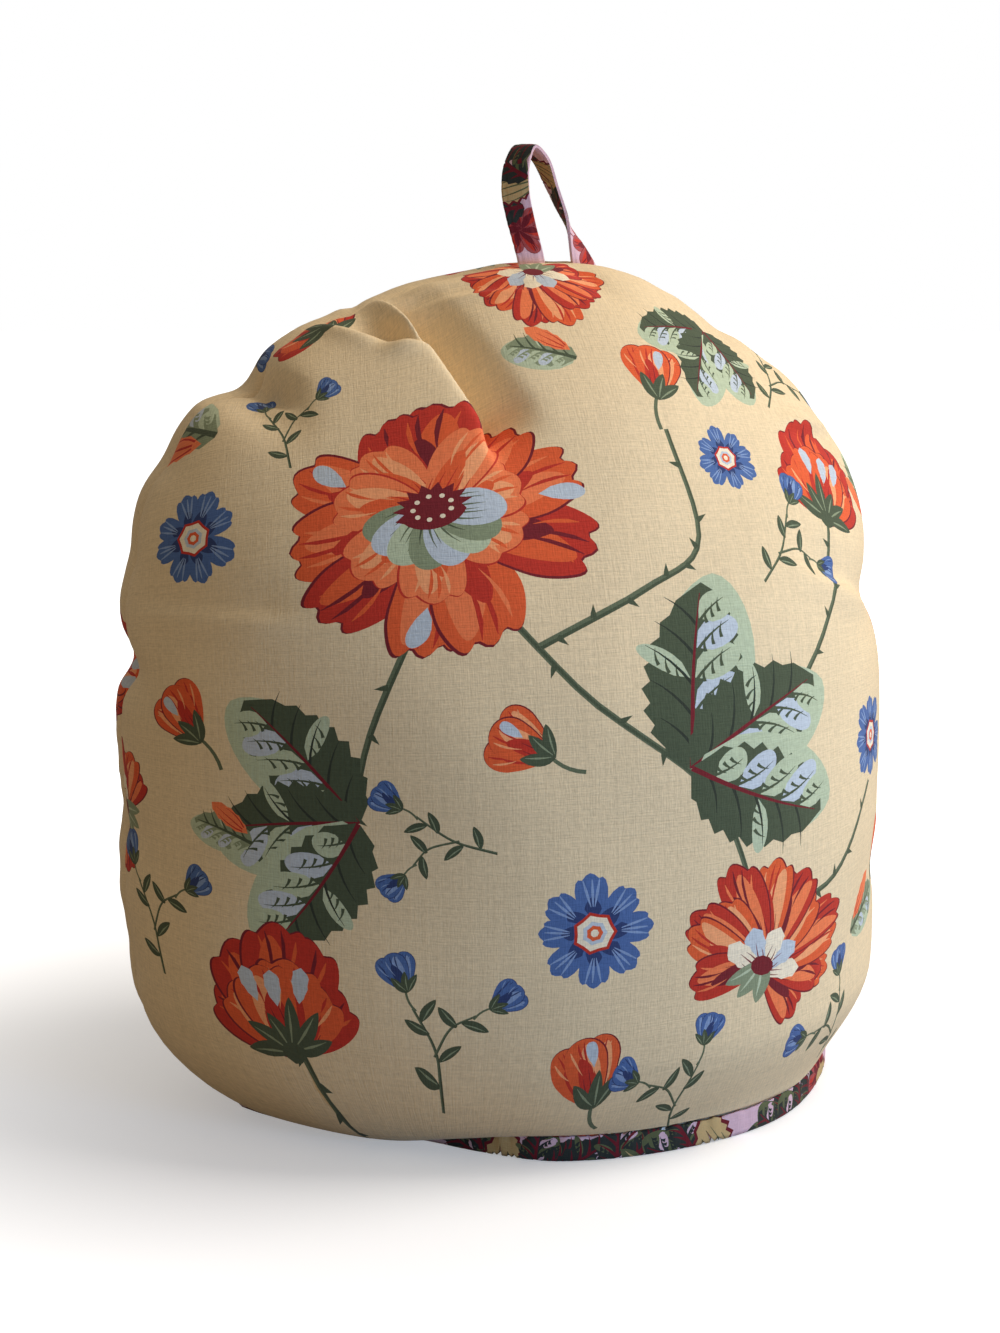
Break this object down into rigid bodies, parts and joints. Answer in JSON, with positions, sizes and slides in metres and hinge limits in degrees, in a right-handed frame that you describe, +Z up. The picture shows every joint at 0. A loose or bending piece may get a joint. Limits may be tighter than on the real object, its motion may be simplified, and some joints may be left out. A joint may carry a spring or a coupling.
{
  "type": "tea cosy",
  "caption": "Padded dome tea cosy of two sewn panels with a bound hem and a hanging loop at the top.",
  "frame": {"origin": "on the surface that the hem rests on, under the middle of the cosy's bounding box", "axes": "+Z up toward the hanging loop, +X along the side seams' plane from the left seam to the right one, front panel toward -Y"},
  "size_m": [0.2656, 0.1927, 0.3243],
  "materials": {
    "printed_linen": "cream plain-weave linen printed with an orange, blue and green floral",
    "contrast_print": "mauve-pink cotton with a dense burgundy and dark green floral print"
  },
  "bodies": {
    "root": {"panel_front": "printed_linen", "panel_back": "printed_linen", "hem_binding": "contrast_print", "hanging_loop": "contrast_print"}
  },
  "joints": []
}
